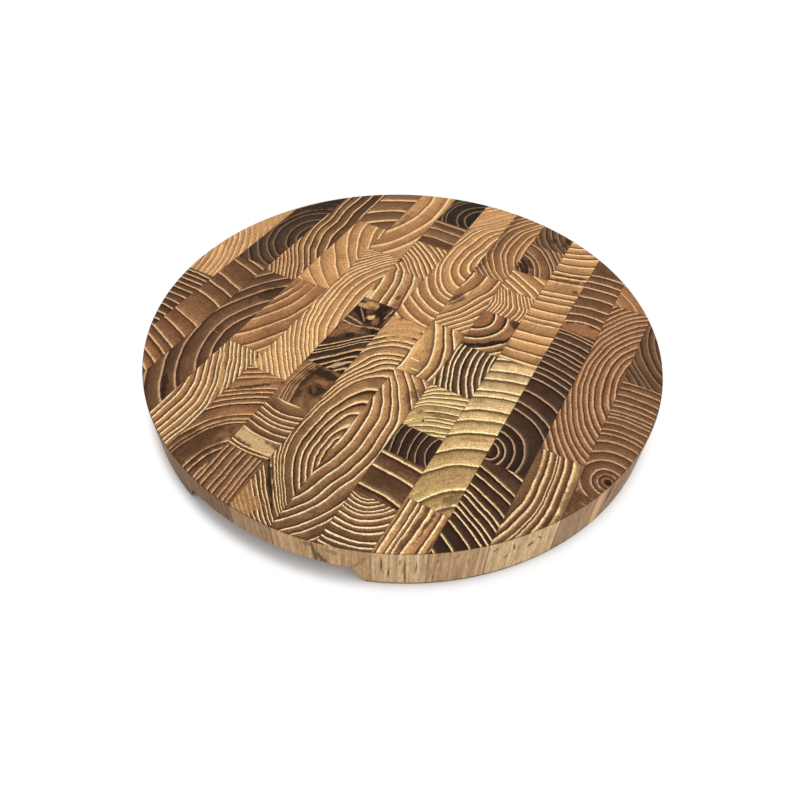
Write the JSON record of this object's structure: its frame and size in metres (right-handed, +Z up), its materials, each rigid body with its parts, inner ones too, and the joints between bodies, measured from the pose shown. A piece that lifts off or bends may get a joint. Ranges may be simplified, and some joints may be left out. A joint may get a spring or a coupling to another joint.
{
  "type": "chopping block",
  "caption": "Round end-grain chopping block: a thick slab of glued teak blocks with their growth rings up, and a finger grip under the rim at each end.",
  "frame": {"origin": "centre of the flat underside, on the surface that the board rests on", "axes": "+Z up through the thickness; the strips of blocks run along Y, and the finger grips are at the -Y and +Y ends"},
  "size_m": [0.4, 0.4, 0.038],
  "materials": {
    "teak_cream": "oiled satin, end grain on top, pale sapwood",
    "teak_tan": "oiled satin, end grain on top",
    "teak_brown": "oiled satin, end grain on top",
    "teak_dark": "oiled satin, end grain on top, dark heartwood"
  },
  "bodies": {
    "root": {"strip_01_block_1": "teak_cream", "strip_01_block_2": "teak_tan", "strip_02_block_1": "teak_dark", "strip_02_block_2": "teak_brown", "strip_03_block_1": "teak_tan", "strip_03_block_2": "teak_brown", "strip_04_block_1": "teak_brown", "strip_04_block_2": "teak_tan", "strip_04_block_3": "teak_brown", "strip_04_block_4": "teak_cream", "strip_05_block_1": "teak_tan", "strip_05_block_2": "teak_tan", "strip_05_block_3": "teak_brown", "strip_06_block_1": "teak_dark", "strip_06_block_2": "teak_brown", "strip_06_block_3": "teak_tan", "strip_06_block_4": "teak_tan", "strip_06_block_5": "teak_dark", "strip_06_block_6": "teak_brown", "strip_06_block_7": "teak_brown", "strip_06_block_8": "teak_brown", "strip_07_block_1": "teak_tan", "strip_07_block_2": "teak_tan", "strip_08_block_1": "teak_tan", "strip_08_block_2": "teak_tan", "strip_08_block_3": "teak_cream", "strip_08_block_4": "teak_brown", "strip_09_block_01": "teak_brown", "strip_09_block_02": "teak_brown", "strip_09_block_03": "teak_tan", "strip_09_block_04": "teak_tan", "strip_09_block_05": "teak_brown", "strip_09_block_06": "teak_dark", "strip_09_block_07": "teak_cream", "strip_09_block_08": "teak_dark", "strip_09_block_09": "teak_brown", "strip_09_block_10": "teak_brown", "strip_10_block_1": "teak_tan", "strip_10_block_2": "teak_cream", "strip_10_block_3": "teak_tan", "strip_11_block_1": "teak_tan", "strip_11_block_2": "teak_dark", "strip_11_block_3": "teak_dark", "strip_12_block_1": "teak_tan", "strip_12_block_2": "teak_tan", "strip_12_block_3": "teak_brown", "strip_13_block_1": "teak_brown", "strip_13_block_2": "teak_tan"}
  },
  "joints": []
}
